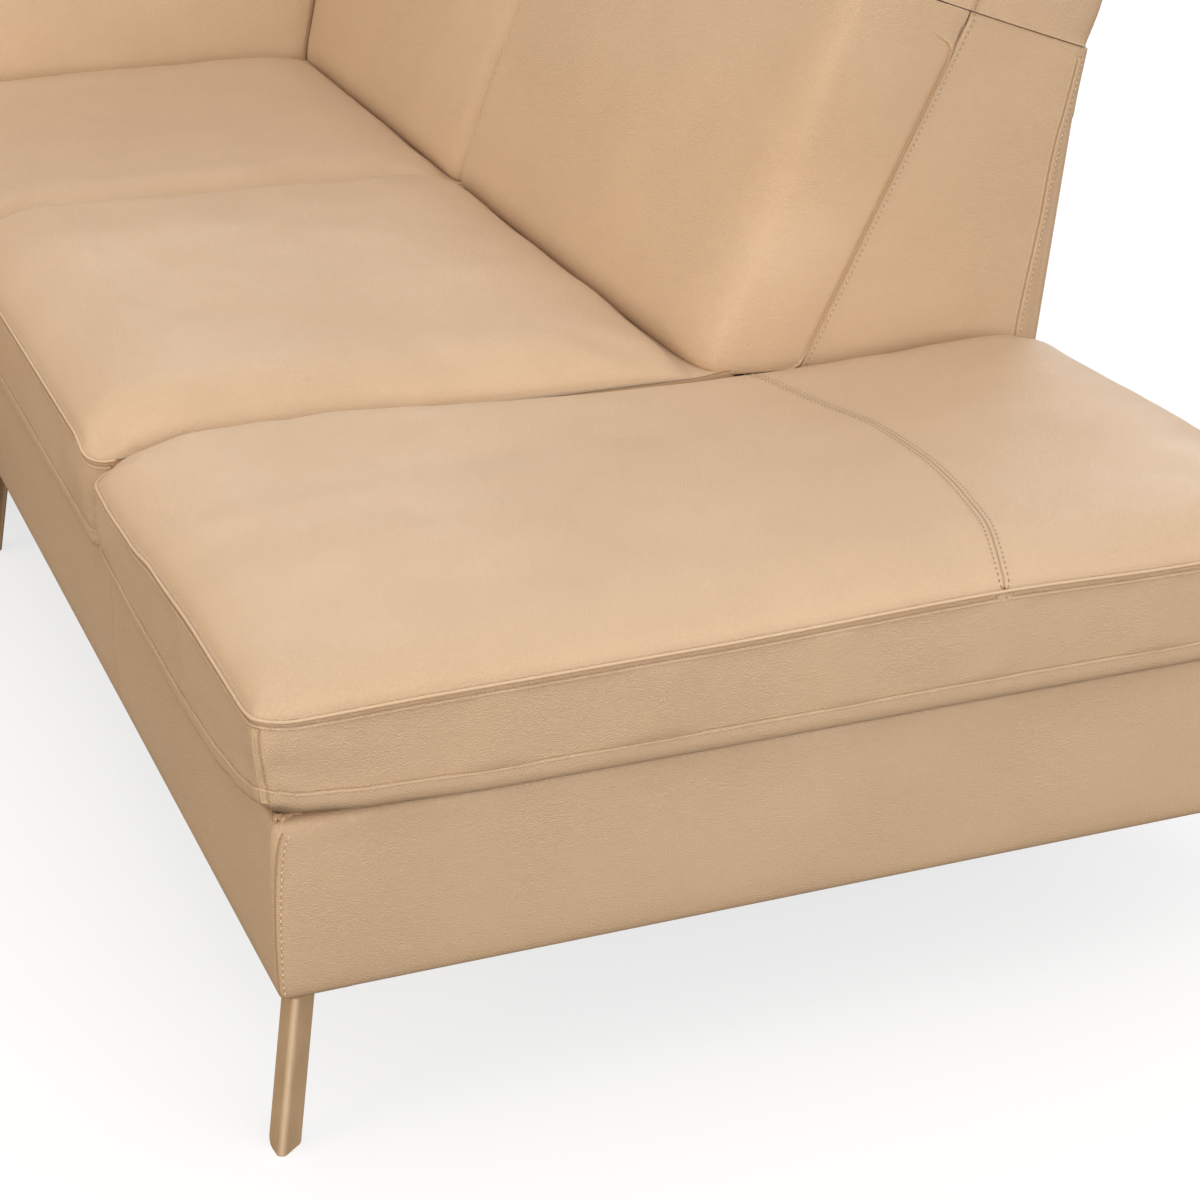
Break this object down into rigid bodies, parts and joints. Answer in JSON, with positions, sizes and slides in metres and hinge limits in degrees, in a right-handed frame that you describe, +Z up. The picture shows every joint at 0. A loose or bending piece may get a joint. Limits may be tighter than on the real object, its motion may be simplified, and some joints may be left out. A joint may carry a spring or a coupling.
{
  "type": "sectional sofa",
  "caption": "L-shaped leather corner sofa with an open end seat, tall leaning back cushions, headrests that lift on ratchet hinges, and splayed folded metal blade legs.",
  "frame": {"origin": "middle of the underside of the overall box, on the floor", "axes": "+X along the main run, from its arm towards the return, +Y from the return's open end towards the main run's back, +Z up"},
  "size_m": [2.9656, 2.6238, 0.9716],
  "materials": {
    "leather": "satin, pebbled grain",
    "hardwood": "unfinished",
    "foam": "matte",
    "webbing": "matte",
    "dust_cloth": "matte",
    "steel": "zinc plated",
    "leg_metal": "satin",
    "foot_plastic": "matte"
  },
  "bodies": {
    "base": {"return_base_frame": "hardwood", "corner_base_frame": "hardwood", "main_base_frame": "hardwood", "seat_webbing": "webbing", "return_base_cover": "leather", "corner_base_cover": "leather", "main_base_cover": "leather", "base_dust_covers": "dust_cloth", "seat_foam_cores": "foam", "bumper_cushion": "leather", "return_seat_cushion": "leather", "corner_seat_cushion": "leather", "main_seat_cushion_right": "leather", "main_seat_cushion_left": "leather", "return_back_frame": "hardwood", "corner_back_frame": "hardwood", "main_back_frame": "hardwood", "back_webbing": "webbing", "return_back_cover": "leather", "corner_back_cover": "leather", "main_back_cover": "leather", "back_foam_cores": "foam", "return_back_cushion": "leather", "corner_side_back_cushion": "leather", "corner_rear_back_cushion": "leather", "main_back_cushion_right": "leather", "main_back_cushion_left": "leather", "corner_side_top_cushion": "leather", "corner_rear_top_cushion": "leather", "ratchet_brackets": "steel", "ratchet_pins": "steel", "hinge_screws": "steel", "arm_frame": "hardwood", "arm_cover": "leather", "arm_pad": "leather", "blade_legs": "leg_metal", "leg_screws": "steel", "support_feet": "foot_plastic", "joining_plates": "steel", "joining_screws": "steel"},
    "return_headrest": {"return_headrest_cushion": "leather", "return_headrest_board": "hardwood", "return_headrest_foam": "foam", "return_ratchet_arms": "steel", "return_pawls": "steel", "return_headrest_screws": "steel"},
    "right_headrest": {"right_headrest_cushion": "leather", "right_headrest_board": "hardwood", "right_headrest_foam": "foam", "right_ratchet_arms": "steel", "right_pawls": "steel", "right_headrest_screws": "steel"},
    "left_headrest": {"left_headrest_cushion": "leather", "left_headrest_board": "hardwood", "left_headrest_foam": "foam", "left_ratchet_arms": "steel", "left_pawls": "steel", "left_headrest_screws": "steel"}
  },
  "joints": [
    {"name": "return_headrest_tilt", "type": "hinge", "parent": "base", "child": "return_headrest", "pos_m": [1.1889, -0.27987, 0.835], "axis": [0, -1, 0], "range_deg": [0, 40]},
    {"name": "right_headrest_tilt", "type": "hinge", "parent": "base", "child": "right_headrest", "pos_m": [-0.04893, 1.01796, 0.835], "axis": [1, 0, 0], "range_deg": [0, 40]},
    {"name": "left_headrest_tilt", "type": "hinge", "parent": "base", "child": "left_headrest", "pos_m": [-0.84893, 1.01796, 0.835], "axis": [1, 0, 0], "range_deg": [0, 40]}
  ]
}
